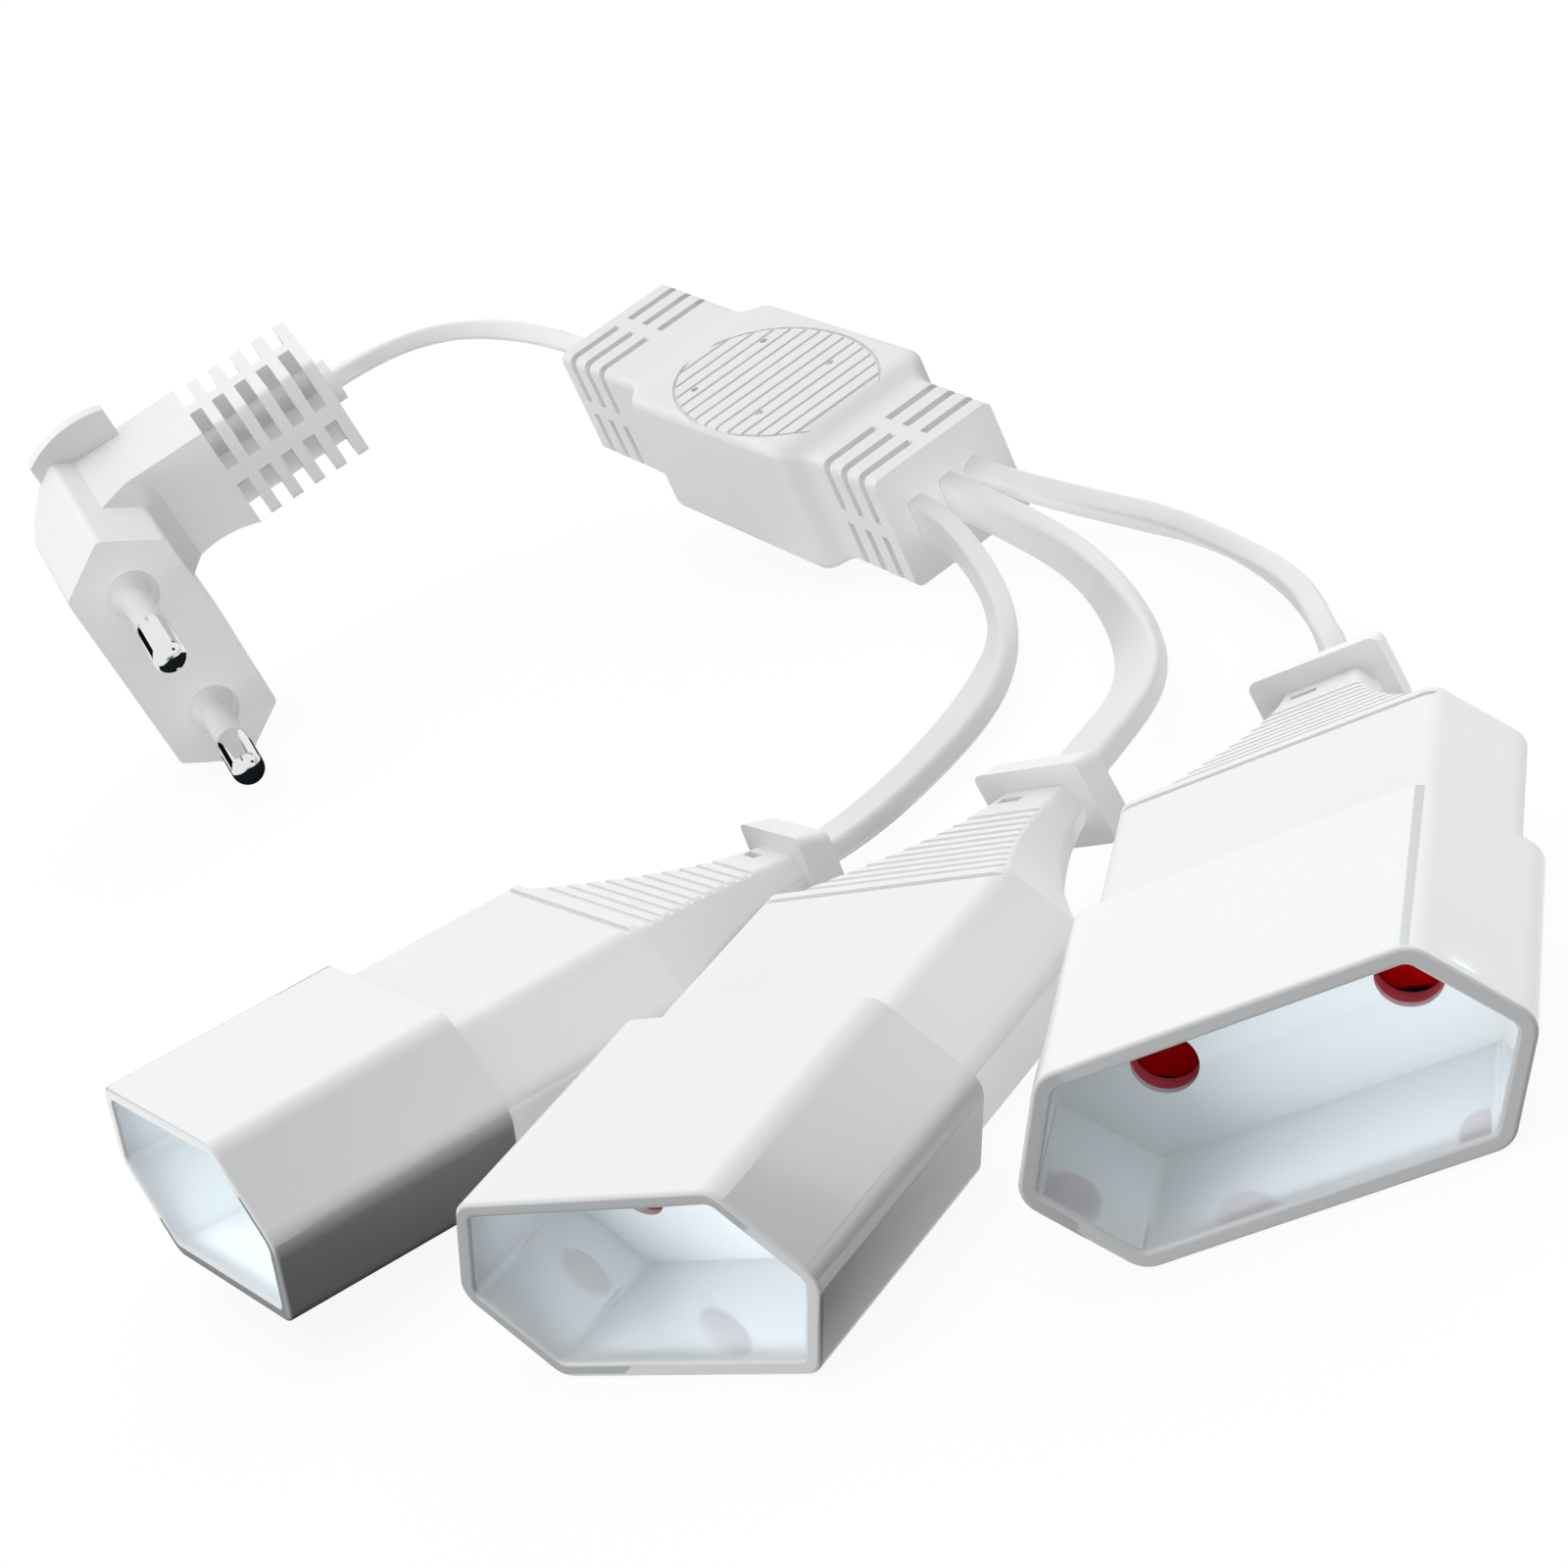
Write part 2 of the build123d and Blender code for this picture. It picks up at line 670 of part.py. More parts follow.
def block_body(under):
    """One moulding: plan and side outlines crossed, corner grooves at both ends, the ribbed oval on top."""
    centre = under.offset(block_end_height / 2)
    side = Plane(origin=centre.origin, x_dir=under.x_dir, z_dir=-under.y_dir)
    with BuildPart() as body:
        sides = (block_swell_side, block_swell_side)
        extrude(shouldered(centre, block_end_width, sides, sides), amount=block_end_height, both=True)
        above = (block_swell_top_start, block_swell_top_end)
        below = (block_swell_under, block_swell_under)
        profile = shouldered(side, block_end_height, above, below)
        extrude(profile, amount=block_end_width, both=True, mode=Mode.INTERSECT)
        long_edges = body.edges().filter_by(
            lambda edge: abs(edge.center().sub(centre.origin).dot(under.x_dir)) < block_length / 2 - 0.1
            and abs(edge.tangent_at(0.5).dot(under.x_dir)) > 0.5
        )
        fillet(long_edges, block_edge_r)

        # Grooves wrap each long edge and stop at the middle of every side
        for end in (1, -1):
            for index in range(groove_count):
                at = end * (block_length / 2 - groove_inset - index * groove_pitch)
                station = Plane(origin=place(centre, at, 0, 0), x_dir=under.y_dir, z_dir=under.x_dir)
                with BuildSketch(station):
                    Rectangle(2 * block_end_width, 2 * block_end_height)
                    inner_width = block_end_width - 2 * groove_depth
                    inner_height = block_end_height - 2 * groove_depth
                    RectangleRounded(inner_width, inner_height, block_edge_r / 2, mode=Mode.SUBTRACT)
                    Rectangle(2 * block_end_width, groove_break, mode=Mode.SUBTRACT)
                    Rectangle(groove_break, 2 * block_end_height, mode=Mode.SUBTRACT)
                extrude(amount=groove_width / 2, both=True, mode=Mode.SUBTRACT)

        # Ribbed oval with its rim line and four moulding dots
        top_slope = (block_swell_top_end - block_swell_top_start) / (block_mid_end - block_mid_start)
        oval_height = block_end_height / 2 + block_swell_top_start + top_slope * (oval_x - block_mid_start)
        top = Plane(
            origin=place(centre, oval_x, oval_y, oval_height),
            x_dir=under.x_dir + under.z_dir * top_slope,
            z_dir=under.z_dir - under.x_dir * top_slope,
        )
        line_pitch = oval_length / oval_line_count
        with BuildSketch(top):
            with GridLocations(line_pitch, 0, oval_line_count, 1):
                Rectangle(oval_line_width, oval_width)
            Ellipse(oval_length / 2, oval_width / 2, mode=Mode.INTERSECT)
        extrude(amount=-oval_line_depth, mode=Mode.SUBTRACT)
        with BuildSketch(top):
            Ellipse(oval_length / 2 + oval_rim, oval_width / 2 + oval_rim)
            Ellipse(oval_length / 2, oval_width / 2, mode=Mode.SUBTRACT)
        extrude(amount=-oval_line_depth, mode=Mode.SUBTRACT)
        with BuildSketch(top):
            with Locations((dot_x - oval_x, 0)):
                with GridLocations(dot_spacing_x, dot_spacing_y, 2, 2):
                    Circle(dot_r)
        extrude(amount=-2 * oval_line_depth, mode=Mode.SUBTRACT)

        # Closed pockets for the splice bars
        with BuildSketch(centre):
            with GridLocations(0, splice_spacing, 1, 2):
                Rectangle(splice_length + 2 * splice_clearance, splice_width + 2 * splice_clearance)
        extrude(amount=splice_height / 2 + splice_clearance, both=True, mode=Mode.SUBTRACT)
    return body.part


def splice_bar(under, side):
    """Brass bar in the block that joins one core of every cord."""
    origin = place(under, 0, side * splice_spacing / 2, block_end_height / 2)
    plane = Plane(origin=origin, x_dir=under.x_dir, z_dir=under.z_dir)
    with BuildPart() as bar:
        with BuildSketch(plane):
            RectangleRounded(splice_length, splice_width, splice_width / 4)
        extrude(amount=splice_height / 2, both=True)
    return bar.part


def bend_radii(points):
    """Largest bend that each corner's shorter run leaves room for."""
    radii = []
    for before, corner, after in zip(points, points[1:], points[2:]):
        run_in = corner - before
        run_out = after - corner
        turn = radians(run_in.get_angle(run_out))
        radii.append(cord_bend_share * min(run_in.length, run_out.length) / tan(turn / 2))
    return radii


def flat_cord(name, start, start_dir, middle, end, end_dir, up):
    """Flat twin cord from a face it leaves along start_dir to one it enters along end_dir.

    Its wide side starts along up.
    """
    leave = start + start_dir * cord_lead
    enter = end - end_dir * cord_lead
    between = [Vector(middle_mouth_x + x, middle_mouth_y + y, z) for x, y, z in middle]
    points = [start, leave, *between, enter, end]
    radii = bend_radii(points)
    with BuildPart() as cord:
        with BuildLine() as route:
            FilletPolyline(*points, radius=radii)
        with BuildSketch(Plane(origin=start, x_dir=up, z_dir=start_dir)) as section:
            SlotOverall(cord_width, cord_thickness)
        sweep(path=route.wires()[0])
    length = route.wires()[0].length
    share = cord.part.volume / (section.sketch.area * length)
    print(name, "length", round(length, 1), "radii", [round(radius) for radius in radii])
    print("   volume share", round(share, 4))
    print("   points", [tuple(round(value, 1) for value in point) for point in points])
    return cord.part


def save(piece, name):
    """Label a finished piece and write it."""
    piece.label = name
    export_step(piece, f"parts/{name}.step")


# Cord runs: the points between both ends, from the middle mouth, chosen by hand
left_cord_points = [(-43.4, 113.0, 3.1), (-35.0, 100.4, 2.9), (-31.4, 88.6, 2.9)]
middle_cord_points = [(-40.5, 121.5, 3.2), (-28.0, 111.0, 3.0), (-16.0, 98.5, 3.4), (-5.6, 84.8, 5.8)]
right_cord_points = [(-38.5, 128.3, 3.2), (-23.5, 121.0, 3.0), (-8.0, 110.0, 3.1), (6.0, 96.8, 5.2)]
supply_cord_points = [(-150.6, 161.0, 29.6), (-141.0, 163.2, 25.8)]

block = block_plane()
plug = plug_plane()
sockets = {
    "left": socket_plane(left_mouth_x, left_mouth_y, left_turn, left_tip),
    "middle": socket_plane(0, 0, 0, 0),
    "right": socket_plane(right_mouth_x, right_mouth_y, right_turn, 0),
}
branch_points = {"left": left_cord_points, "middle": middle_cord_points, "right": right_cord_points}

save(plug_body(plug), "plug_body")
for pin_name, pin_side in (("upper", 1), ("lower", -1)):
    foot = pin_plane(plug, pin_side)
    save(plug_pin(foot), f"plug_pin_{pin_name}")
    save(pin_sleeve(foot), f"pin_sleeve_{pin_name}")

save(block_body(block), "splitter_block")
for bar_name, bar_side in (("near", -1), ("far", 1)):
    save(splice_bar(block, bar_side), f"splice_bar_{bar_name}")

for order, (socket_name, mouth_plane) in enumerate(sockets.items()):
    save(socket_front(mouth_plane), f"{socket_name}_socket_front")
    save(socket_rear(mouth_plane), f"{socket_name}_socket_rear")
    save(guard_plate(mouth_plane), f"{socket_name}_guard_plate")
    save(socket_shutter(mouth_plane), f"{socket_name}_shutter")
    save(shutter_spring(mouth_plane), f"{socket_name}_shutter_spring")
    for contact_name, contact_side in (("a", -1), ("b", 1)):
        save(socket_contact(mouth_plane, contact_side), f"{socket_name}_contact_{contact_name}")
    branch = flat_cord(
        f"{socket_name}_cord",
        start=place(block, block_length / 2, (order - 1) * cord_gap, block_end_height / 2),
        start_dir=block.x_dir,
        middle=branch_points[socket_name],
        end=place(mouth_plane, 0, 0, -collar_back),
        end_dir=mouth_plane.z_dir,
        up=block.z_dir,
    )
    save(branch, f"{socket_name}_cord")

supply = flat_cord(
    "supply_cord",
    start=place(plug, arm_end + boss_length, arm_middle, -(arm_front + arm_depth / 2)),
    start_dir=plug.x_dir,
    middle=supply_cord_points,
    end=place(block, -block_length / 2, 0, block_end_height / 2),
    end_dir=block.x_dir,
    up=plug.z_dir,
)
save(supply, "supply_cord")
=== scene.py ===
# %% [markdown]
# # A three-way flat socket lead
# This lesson dresses a white splitter lead: a flat two-pin plug, a moulded block and three flat sockets
# with red shutters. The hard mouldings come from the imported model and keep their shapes, so the work here
# is on the cords, the finishes, and the studio that shows them.

# %% Load the frame
import json
import math

import bpy
from mathutils import Matrix, Vector


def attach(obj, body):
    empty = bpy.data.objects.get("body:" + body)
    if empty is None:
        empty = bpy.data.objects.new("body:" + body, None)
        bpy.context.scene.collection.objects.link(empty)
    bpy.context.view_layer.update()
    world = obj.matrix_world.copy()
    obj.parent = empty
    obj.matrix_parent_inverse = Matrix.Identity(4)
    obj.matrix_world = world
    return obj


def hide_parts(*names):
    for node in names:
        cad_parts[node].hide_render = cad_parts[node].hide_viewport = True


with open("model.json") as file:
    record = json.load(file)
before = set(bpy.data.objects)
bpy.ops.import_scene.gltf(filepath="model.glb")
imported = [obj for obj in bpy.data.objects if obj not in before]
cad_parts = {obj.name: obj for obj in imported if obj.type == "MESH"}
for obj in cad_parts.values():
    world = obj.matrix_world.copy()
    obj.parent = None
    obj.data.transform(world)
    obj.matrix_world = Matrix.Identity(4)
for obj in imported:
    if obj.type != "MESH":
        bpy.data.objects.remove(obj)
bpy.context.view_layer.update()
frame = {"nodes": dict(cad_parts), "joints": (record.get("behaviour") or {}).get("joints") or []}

MM = 0.001

nodes = frame["nodes"]

# %% [markdown]
# ## Where the sockets lie
# Each shutter turns about its socket's own axis, so its hinge says where the socket lies and which way it
# faces. Typing those places in again would work too, but a value read from the frame can't disagree with
# it. The ends of two cords and the lights in the mouths are set by these directions.

# %% Mouths of the sockets
# How far a shutter's hinge lies behind its mouth
HINGE_DEPTH_MM = 15.45

mouths = {}
facings = {}
sideways = {}
for joint in frame["joints"]:
    socket = joint["name"].split("_")[0]
    facing = Vector(joint["axis"])
    facings[socket] = facing
    mouths[socket] = Vector(joint["pos_m"]) + facing * HINGE_DEPTH_MM * MM
    sideways[socket] = Vector((-facing.y, facing.x, 0)).normalized()
    print(socket, "mouth at", [round(value / MM, 2) for value in mouths[socket]], "mm")

# %% [markdown]
# ## The camera
# The photograph was taken with a long lens from the front right, above the sockets, and with the camera
# rolled so that the lead runs down the picture. Its place and its axes were worked out from the known
# sizes of the plug and the sockets, so the camera is set by those axes, which is simpler than three
# angles.

# %% Camera
PHOTO_SIDE = 1600
FOCAL_PIXELS = 4213
SENSOR_MM = 36
CAMERA_PLACE = (0.28930, -0.24467, 0.13905)
PICTURE_RIGHT = Vector((0.7012, 0.5354, -0.4708))
PICTURE_DOWN = Vector((-0.1077, -0.5733, -0.8123))
NEAREST_SEEN = 0.01

camera_data = bpy.data.cameras.new("camera")
camera_data.sensor_width = SENSOR_MM
camera_data.lens = SENSOR_MM * FOCAL_PIXELS / PHOTO_SIDE
camera_data.clip_start = NEAREST_SEEN
camera = bpy.data.objects.new("camera", camera_data)
bpy.context.scene.collection.objects.link(camera)

camera_forward = PICTURE_RIGHT.cross(PICTURE_DOWN).normalized()
camera_axes = Matrix((PICTURE_RIGHT, -PICTURE_DOWN, -camera_forward)).transposed().to_4x4()
camera.matrix_world = Matrix.Translation(CAMERA_PLACE) @ camera_axes
bpy.context.scene.camera = camera
print("lens", round(camera_data.lens, 1), "mm, looking along", [round(c, 3) for c in camera_forward])

# %% [markdown]
# ## The cords
# Each cord is flat twin flex: two cores side by side in one PVC jacket, with flat sides and softly rounded
# edges. The supply cord joins the plug to the block, and three branches join the block to the sockets. A
# curve with a round bevel would be quicker, but it can't be flat or twist. So a NURBS spline gives the
# route, its points are read back, and a ring with the flat outline is set at each of them.

# %% Routes of the cords
# Points that each cord passes near, in millimetres, from the block or the plug to the far end
cord_routes = {
    "left_cord": [(-0.8, 46.0, 6.7), (4.2, 43.9, 5.5), (18.3, 30.7, 3.1), (26.7, 18.1, 2.9),
                  (30.3, 6.3, 2.9), (28.3, -9.5, 2.8), (26.3, -14.6, 3.6)],
    "middle_cord": [(0.8, 49.9, 6.7), (5.8, 47.8, 5.5), (21.2, 39.2, 3.2), (33.7, 28.7, 3.0),
                    (45.7, 16.2, 3.4), (56.1, 2.5, 5.8), (61.7, -12.1, 8.6), (61.7, -17.6, 8.6)],
    "right_cord": [(2.4, 53.7, 6.7), (7.4, 51.7, 5.5), (23.2, 46.0, 3.2), (38.2, 38.7, 3.0),
                   (53.7, 27.7, 3.1), (67.7, 14.5, 5.2), (82.0, -2.3, 8.6), (84.4, -7.3, 8.6)],
    "supply_cord": [(-99.3, 67.2, 31.4), (-96.0, 71.6, 31.6), (-88.9, 78.7, 29.6), (-79.3, 80.9, 25.8),
                    (-63.9, 76.5, 21.4), (-58.9, 74.5, 20.3)],
}
print(len(cord_routes), "routes")

# %% Smooth lines along the routes
SPLINE_ORDER = 3
STEPS_PER_POINT = 24


def smooth_line(name, route):
    """Points along a NURBS spline whose control points are the route's, in metres."""
    curve = bpy.data.curves.new(name + "_line", "CURVE")
    curve.dimensions = "3D"
    spline = curve.splines.new("NURBS")
    spline.points.add(len(route) - 1)
    for point, place in zip(spline.points, route):
        point.co = (*[value * MM for value in place], 1)
    spline.order_u = SPLINE_ORDER
    spline.use_endpoint_u = True
    spline.resolution_u = STEPS_PER_POINT
    holder = bpy.data.objects.new(name + "_line", curve)
    mesh = bpy.data.meshes.new_from_object(holder)
    line = [vertex.co.copy() for vertex in mesh.vertices]
    bpy.data.meshes.remove(mesh)
    bpy.data.objects.remove(holder)
    bpy.data.curves.remove(curve)
    return line


cord_lines = {name: smooth_line(name, route) for name, route in cord_routes.items()}
for name, line in cord_lines.items():
    print(name, len(line), "points")

# %% [markdown]
# The outline of the flex is drawn for one quarter, from the middle of a flat side round to the middle of
# an edge, and mirrored twice, which keeps its two sides alike. The edge is crowned a little, as an
# extruded jacket is.

# %% Outline of the flex
CORD_WIDTH = 5.2
CORD_THICKNESS = 2.2
EDGE_R = 0.6
EDGE_CROWN = 0.05
CORNER_STEPS = 6

corner_side = CORD_THICKNESS / 2 - EDGE_R
corner_rise = CORD_WIDTH / 2 - EDGE_R - EDGE_CROWN
quarter = [(CORD_THICKNESS / 2, rise) for rise in (0.0, corner_rise / 2)]
for step in range(CORNER_STEPS + 1):
    angle = math.pi / 2 * step / CORNER_STEPS
    quarter.append((corner_side + EDGE_R * math.cos(angle), corner_rise + EDGE_R * math.sin(angle)))
upper = quarter + [(0.0, CORD_WIDTH / 2)] + [(-side, rise) for side, rise in reversed(quarter)]
outline = upper + [(-side, -rise) for side, rise in upper[1:-1]]
print("flex outline of", len(outline), "points")

# %% [markdown]
# A flat cord bends easily only about its thin side, so it twists to follow a bend. The way of its wide
# side is given at a few shares of its length and turned smoothly between them. The left and middle
# branches leave the block on edge and lie flat at their sockets. The right branch and the supply cord stay
# nearly edge on to the camera, which is why they look thinner in the photograph.

# %% Ways of the wide side
BLOCK_UP = (0.19, -0.08, 0.978)

cord_ways = {
    "left_cord": [(0, BLOCK_UP), (0.75, sideways["left"])],
    "middle_cord": [(0, BLOCK_UP), (1, sideways["middle"])],
    "right_cord": [(0, (0.0, -0.55, 0.83)), (0.45, (-0.316, -0.436, 0.842)), (0.85, (-0.1, 0.126, 0.987)),
                   (1, (0.48, 0.23, 0.847))],
    "supply_cord": [(0, (0.777, -0.592, 0.1)), (0.45, (0.361, -0.827, 0.35)), (1, (-0.093, -0.644, 0.759))],
}


def wide_way(ways, share):
    """The way of the flex's wide side at a share of its length, turned smoothly between the given ways."""
    for (before, way), (after, next_way) in zip(ways, ways[1:]):
        if share <= after:
            turned = (share - before) / (after - before)
            return Vector(way).lerp(Vector(next_way), turned * turned * (3 - 2 * turned))
    return Vector(ways[-1][1])


for name, ways in cord_ways.items():
    print(name, "way half along", [round(c, 2) for c in wide_way(ways, 0.5)])

# %% [markdown]
# Rings of the outline are set square to the line, turned to the wide side's way, and joined into a closed
# tube. The faces are written out from the rings, because skinning them by hand would take one bridge for
# each pair. The tube is shaded smooth, apart from its two flat ends.

# %% Flat tubes
def flex_rings(line, ways):
    """The outline's points at each place on a line."""
    rings = []
    for order, place in enumerate(line):
        along = (line[min(order + 1, len(line) - 1)] - line[max(order - 1, 0)]).normalized()
        side = along.cross(wide_way(ways, order / (len(line) - 1))).normalized()
        rise = side.cross(along)
        rings.append([place + (side * s + rise * r) * MM for s, r in outline])
    return rings


def flex_tube(name, rings):
    """A closed tube over rings of the outline."""
    count = len(outline)
    points = [point for ring in rings for point in ring]
    faces = []
    for ring in range(len(rings) - 1):
        for step in range(count):
            here = ring * count + step
            after = ring * count + (step + 1) % count
            faces.append((here, after, after + count, here + count))
    faces.append(tuple(reversed(range(count))))
    faces.append(tuple(range(len(points) - count, len(points))))
    mesh = bpy.data.meshes.new(name + "_flex")
    mesh.from_pydata(points, [], faces)
    mesh.polygons.foreach_set("use_smooth", [True] * (len(faces) - 2) + [False] * 2)
    piece = bpy.data.objects.new(name + "_flex", mesh)
    bpy.context.scene.collection.objects.link(piece)
    return piece


flexes = {name: flex_tube(name, flex_rings(line, cord_ways[name])) for name, line in cord_lines.items()}
for flex in flexes.values():
    print(flex.name, len(flex.data.polygons), "faces")

# %% [markdown]
# Each tube stands for the model's plain cord, which is hidden, and moves with the lead.

# %% Lay the cords
for name, flex in flexes.items():
    line = cord_lines[name]
    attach(flex, "lead")
    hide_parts(name)

# %% [markdown]
# ## Finishes
# Colours are written as sRGB hex, the way a colour picker shows them, and one function turns them to the
# linear values that shaders work in. A second small function adds a node with its settings and links, so
# that a finish reads as a list of its nodes.

# %% Colour and node helpers
def linear(hex_colour):
    """Linear red, green, blue and alpha of an sRGB hex colour."""
    channels = [int(hex_colour[at:at + 2], 16) / 255 for at in (1, 3, 5)]
    return [c / 12.92 if c <= 0.04045 else ((c + 0.055) / 1.055) ** 2.4 for c in channels] + [1.0]


def add_node(tree, kind, settings=None, inputs=None):
    """A new node in the tree: settings are its options, inputs are values or the sockets that feed it."""
    node = tree.nodes.new(kind)
    for name, value in (settings or {}).items():
        setattr(node, name, value)
    for name, value in (inputs or {}).items():
        if isinstance(value, bpy.types.NodeSocket):
            tree.links.new(value, node.inputs[name])
        else:
            node.inputs[name].default_value = value
    return node


def new_material(name):
    """An empty material and its tree, with its output and the piece's own coordinates."""
    material = bpy.data.materials.new(name)
    material.use_nodes = True
    tree = material.node_tree
    tree.nodes.clear()
    output = add_node(tree, "ShaderNodeOutputMaterial")
    place = add_node(tree, "ShaderNodeTexCoord").outputs["Object"]
    return material, tree, output, place


print("a half-bright grey in linear light", [round(c, 3) for c in linear("#808080")])

# %% [markdown]
# Every hard white part here is injection moulded, and what tells the parts apart is the tool's surface:
# the fronts come from a polished tool, the rears, the block and the plug from a spark-eroded one, whose
# fine grain scatters the light. So one recipe makes them all, from a colour, a slightly deeper colour for
# the slow variation in the resin, a roughness, and the grain's size and depth. A polished skin is a clear
# coat on top.

# %% Moulded plastics
CLOUD_MM = 22
PATCH_MM = 6
ROUGHNESS_SPREAD = 0.15
SKIN_ROUGHNESS = 0.05
# ABS has about 1.54; the skin's is raised until the dark cards mirror as strongly as in the photograph
SKIN_IOR = 1.75


def moulded(name, colour, deeper, roughness, ior, grain_mm, grain_depth_mm, skin=0.0):
    """Moulded plastic with cloudy resin colour, roughness that varies a little, and the tool's grain."""
    material, tree, output, place = new_material(name)
    clouds = add_node(tree, "ShaderNodeTexNoise", inputs={
        "Vector": place, "Scale": 1 / (CLOUD_MM * MM), "Detail": 2.0})
    tint = add_node(tree, "ShaderNodeMix", {"data_type": "RGBA"}, {
        "Factor": clouds.outputs["Fac"], "A": linear(colour), "B": linear(deeper)})
    patches = add_node(tree, "ShaderNodeTexNoise", inputs={
        "Vector": place, "Scale": 1 / (PATCH_MM * MM), "Detail": 3.0})
    rough = add_node(tree, "ShaderNodeMapRange", inputs={
        "Value": patches.outputs["Fac"], "To Min": roughness * (1 - ROUGHNESS_SPREAD),
        "To Max": roughness * (1 + ROUGHNESS_SPREAD)})
    grain = add_node(tree, "ShaderNodeTexNoise", inputs={
        "Vector": place, "Scale": 1 / (grain_mm * MM), "Detail": 3.0, "Roughness": 0.6})
    bump = add_node(tree, "ShaderNodeBump", inputs={
        "Height": grain.outputs["Fac"], "Distance": grain_depth_mm * MM, "Strength": 1.0})
    shader = add_node(tree, "ShaderNodeBsdfPrincipled", inputs={
        "Base Color": tint.outputs["Result"], "Roughness": rough.outputs["Result"],
        "Normal": bump.outputs["Normal"], "IOR": ior, "Coat Weight": skin,
        "Coat Roughness": SKIN_ROUGHNESS, "Coat IOR": SKIN_IOR})
    tree.links.new(shader.outputs["BSDF"], output.inputs["Surface"])
    print(name, colour, "with roughness", roughness)
    return material


# Polished ABS mirrors its surroundings over a clean white, and its walls draw in by a hair as they cool
gloss_abs = moulded("polished_abs", "#F3F4F5", "#EFF1F2", 0.12, 1.54, 2.5, 0.003, skin=1.0)

# %% [markdown]
# The matt whites differ only a little in shade. A real spark-eroded grain is about a twentieth of a
# millimetre, too fine to show from here, so it is drawn several times as coarse. The flex is softer PVC,
# with the low sheen of an extruded jacket, and the sleeves on the pins are nylon.

# %% Matt whites
# Soft PVC of the rears: even and chalky, with no clear reflections
matt_pvc = moulded("soft_matt_pvc", "#F2F2F2", "#EDEDED", 0.5, 1.5, 0.6, 0.003)
# Eroded PVC of the block: a shade greyer, and dull because the grain scatters the light
block_pvc = moulded("spark_eroded_block_pvc", "#E4E4E4", "#DEDEDE", 0.55, 1.5, 0.3, 0.008)
# Eroded PVC of the plug: the same grain with a trace of sheen from handling
plug_pvc = moulded("spark_eroded_plug_pvc", "#ECECEC", "#E6E6E6", 0.48, 1.5, 0.3, 0.008)
# Nylon sleeves: smoother, with a broad soft highlight along each. Their colour is darkened to the shade on
# the plug's face, a painted shade
painted_shade_sleeve_nylon = moulded("painted_shade_sleeve_nylon", "#DEDEDE", "#D8D8D8", 0.35, 1.5, 0.4, 0.004)
# Extruded PVC of the cords: a long soft highlight that follows each bend
flex_pvc = moulded("flex_pvc", "#ECECEC", "#E6E6E6", 0.36, 1.5, 0.5, 0.004)

# %% [markdown]
# The shutters and the guard plates are red acetal, a slippery plastic for small moving parts. The shutter
# lies deep in its chamber, where the photograph shows a plain dark red. The wall of each pin hole is the
# guard plate, whose colour is painted paler and pinker than the shutter's red: a painted sheen for the
# white light from the recess that grazes it.

# %% Reds
# Acetal has an IOR of about 1.48; the shutter's is lowered until the sheen is as faint as in the photograph
shutter_red = moulded("shutter_red_acetal", "#B40305", "#A80204", 0.6, 1.08, 0.3, 0.004)
# The plate keeps a satin sheen round the holes' edges, and its paler, pinker colour is a painted sheen
painted_sheen_guard_red = moulded("painted_sheen_guard_acetal", "#D4606A", "#C9555F", 0.5, 1.4, 0.3, 0.004)

# %% [markdown]
# The pins are turned brass with a bright nickel plate: a metal whose colour comes from its reflections,
# with slight marks from the lathe. The contacts and springs sit inside and get plain brass and steel. One
# recipe makes the three, from a colour, a roughness, and the size and depth of the marks.

# %% Metals
MARKS_SPREAD = 0.3


def worked_metal(name, colour, roughness, mark_mm, mark_depth_mm):
    """Bare metal with fine marks from its making."""
    material, tree, output, place = new_material(name)
    marks = add_node(tree, "ShaderNodeTexNoise", inputs={
        "Vector": place, "Scale": 1 / (mark_mm * MM), "Detail": 2.0})
    bump = add_node(tree, "ShaderNodeBump", inputs={
        "Height": marks.outputs["Fac"], "Distance": mark_depth_mm * MM, "Strength": 1.0})
    rough = add_node(tree, "ShaderNodeMapRange", inputs={
        "Value": marks.outputs["Fac"], "To Min": roughness * (1 - MARKS_SPREAD),
        "To Max": roughness * (1 + MARKS_SPREAD)})
    shader = add_node(tree, "ShaderNodeBsdfPrincipled", inputs={
        "Base Color": linear(colour), "Metallic": 1.0, "Roughness": rough.outputs["Result"],
        "Normal": bump.outputs["Normal"]})
    tree.links.new(shader.outputs["BSDF"], output.inputs["Surface"])
    print(name, colour, "with roughness", roughness)
    return material


# Bright nickel is close to a mirror: black and white bands with sharp edges
nickel = worked_metal("bright_nickel_plate", "#E6E6E6", 0.04, 0.4, 0.0004)
# Drawn brass: a warm yellow with a blurred highlight
brass = worked_metal("drawn_brass", "#D9B36A", 0.25, 0.5, 0.003)
# Spring wire: a cool grey with a blurred highlight
spring_steel = worked_metal("spring_steel_wire", "#B9BBBD", 0.22, 0.4, 0.002)

# %% [markdown]
# A piece takes its finish from the word in its name. The spring's word stands before the shutter's,
# because the spring's name holds both.

# %% Give each piece its finish
finishes = {
    "plug_body": plug_pvc,
    "plug_pin": nickel,
    "pin_sleeve": painted_shade_sleeve_nylon,
    "splitter_block": block_pvc,
    "splice_bar": brass,
    "socket_front": gloss_abs,
    "socket_rear": matt_pvc,
    "guard_plate": painted_sheen_guard_red,
    "shutter_spring": spring_steel,
    "shutter": shutter_red,
    "contact": brass,
    "cord": flex_pvc,
}
for name, piece in nodes.items():
    piece.data.materials.clear()
    piece.data.materials.append(next(finish for word, finish in finishes.items() if word in name))
for flex in flexes.values():
    flex.data.materials.append(flex_pvc)
print(len(nodes) + len(flexes), "pieces have a finish")

